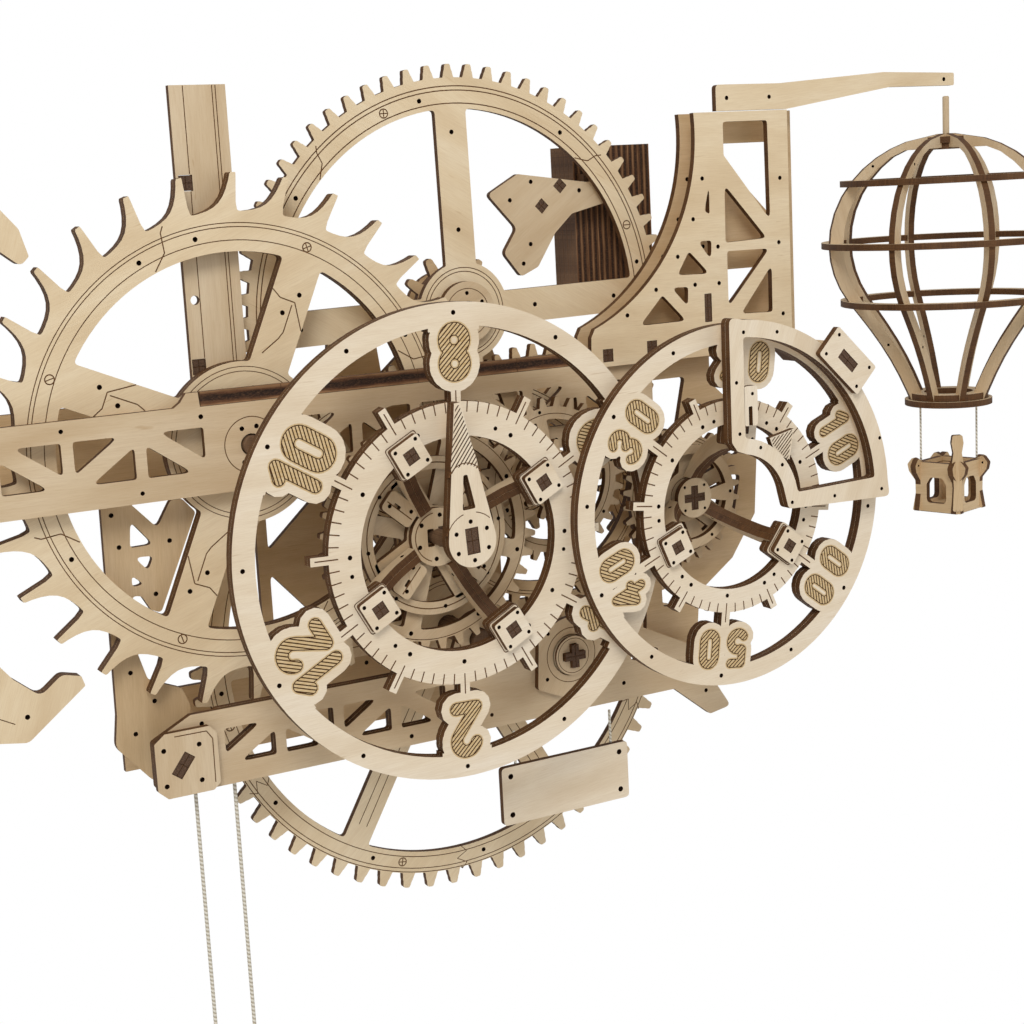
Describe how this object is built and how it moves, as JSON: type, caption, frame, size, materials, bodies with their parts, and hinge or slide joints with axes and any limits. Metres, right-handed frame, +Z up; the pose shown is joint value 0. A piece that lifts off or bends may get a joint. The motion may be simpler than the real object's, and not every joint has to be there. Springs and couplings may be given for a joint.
{
  "type": "wooden mechanical clock kit",
  "caption": "Wall-hung laser-cut plywood gear clock with rotating hour and minute dials, escape wheel, anchor, pendulum, weight, hanging balloon and small blank plate.",
  "frame": {"origin": "centre of the wall plate's back face, which lies flat on the wall", "axes": "+Z up, +Y into the wall, +X to the right seen from the front"},
  "size_m": [0.6169, 0.1259, 0.4893],
  "materials": {
    "birch": "laser-cut birch plywood, unfinished, dark charred edges",
    "birch_rear": "laser-cut birch plywood, unfinished, dark charred edges",
    "laminate": "stacked plywood seen edge-on, charred brown with fine pale plies",
    "cord": "thin twisted cotton cord"
  },
  "bodies": {
    "frame": {"upper_beam_front": "birch", "top_rail": "laminate", "upper_beam_rear": "birch_rear", "lower_beam_front": "birch", "lower_beam_rear": "birch_rear", "end_plate_lower_left": "birch", "left_post": "birch", "rear_truss": "birch_rear", "tower_front": "birch", "tower_rear": "birch_rear", "laminated_block": "laminate", "cross_bearing": "birch", "wall_plate": "birch_rear", "wall_spacer_left": "birch_rear", "wall_spacer_right": "birch_rear", "balloon_arm": "birch", "hour_pointer": "birch", "pointer_post": "birch", "minute_window": "birch", "window_arm": "birch", "minute_pointer": "birch", "weight_cord_left": "cord", "weight_cord_right": "cord"},
    "hour_set": {"hour_dial": "birch", "hour_arm_1": "birch", "hour_arm_2": "birch", "hour_arm_3": "birch", "hour_arm_4": "birch", "hour_spider": "birch", "hour_wheel": "birch"},
    "intermediate_set": {"intermediate_arbor": "birch", "intermediate_front_wheel": "birch", "intermediate_wheel": "birch_rear"},
    "minute_set": {"minute_dial": "birch", "minute_arm_1": "birch", "minute_arm_2": "birch", "minute_arm_3": "birch", "minute_spider": "birch", "minute_arbor": "birch", "minute_wheel": "birch_rear"},
    "escape_set": {"escape_wheel": "birch", "escape_arbor": "birch"},
    "great_set": {"great_wheel": "birch", "great_arbor": "birch"},
    "drive_set": {"drive_wheel": "birch", "drive_arbor": "birch"},
    "winder": {"winding_arbor": "birch"},
    "anchor_set": {"anchor": "birch", "pendulum": "birch"},
    "balloon": {"balloon_ribs": "birch", "balloon_ring_upper": "birch", "balloon_ring_middle": "birch", "balloon_ring_lower": "birch", "balloon_basket": "birch", "balloon_string_left": "cord", "balloon_string_right": "cord"},
    "sign": {"nameplate": "birch", "nameplate_loop_left": "cord", "nameplate_loop_right": "cord"},
    "driving_weight": {"weight": "birch"}
  },
  "joints": [
    {"name": "drive_turn", "type": "hinge", "parent": "frame", "child": "drive_set", "pos_m": [0.0265, -0.0285, -0.0987], "axis": [0, 1, 0], "continuous": true},
    {"name": "great_turn", "type": "hinge", "parent": "frame", "child": "great_set", "pos_m": [0.03886, -0.0385, 0.04418], "axis": [0, 1, 0], "continuous": true},
    {"name": "escape_turn", "type": "hinge", "parent": "frame", "child": "escape_set", "pos_m": [-0.073, -0.0495, 0], "axis": [0, 1, 0], "continuous": true},
    {"name": "minute_turn", "type": "hinge", "parent": "frame", "child": "minute_set", "pos_m": [0.1334, -0.0385, -0.047], "axis": [0, 1, 0], "continuous": true},
    {"name": "intermediate_turn", "type": "hinge", "parent": "frame", "child": "intermediate_set", "pos_m": [0.0636, -0.0562, -0.0307], "axis": [0, 1, 0], "continuous": true},
    {"name": "hour_turn", "type": "hinge", "parent": "frame", "child": "hour_set", "pos_m": [0, -0.0712, -0.046], "axis": [0, 1, 0], "continuous": true},
    {"name": "winding_turn", "type": "hinge", "parent": "frame", "child": "winder", "pos_m": [0.0705, -0.048, -0.1125], "axis": [0, 1, 0], "continuous": true},
    {"name": "anchor_rock", "type": "hinge", "parent": "frame", "child": "anchor_set", "pos_m": [-0.23, -0.0495, -0.015], "axis": [0, 1, 0], "range_deg": [-2, 2]},
    {"name": "balloon_swing", "type": "hinge", "parent": "frame", "child": "balloon", "pos_m": [0.2985, -0.0635, 0.132], "axis": [0, 1, 0], "range_deg": [-8, 8]},
    {"name": "nameplate_swing", "type": "hinge", "parent": "frame", "child": "sign", "pos_m": [0.0638, -0.0655, -0.142], "axis": [1, 0, 0], "range_deg": [-10, 10]},
    {"name": "weight_lift", "type": "slide", "parent": "frame", "child": "driving_weight", "axis": [0, 0, 1], "range_m": [0, 0.12], "deforming": ["weight_cord_left", "weight_cord_right"]}
  ],
  "couplings": [
    {"joint": "great_turn", "follows": "drive_turn", "ratio": -5.1667},
    {"joint": "escape_turn", "follows": "drive_turn", "ratio": 34.1},
    {"joint": "minute_turn", "follows": "drive_turn", "ratio": 20.059},
    {"joint": "intermediate_turn", "follows": "drive_turn", "ratio": -5.0147},
    {"joint": "hour_turn", "follows": "drive_turn", "ratio": 1.6716}
  ]
}
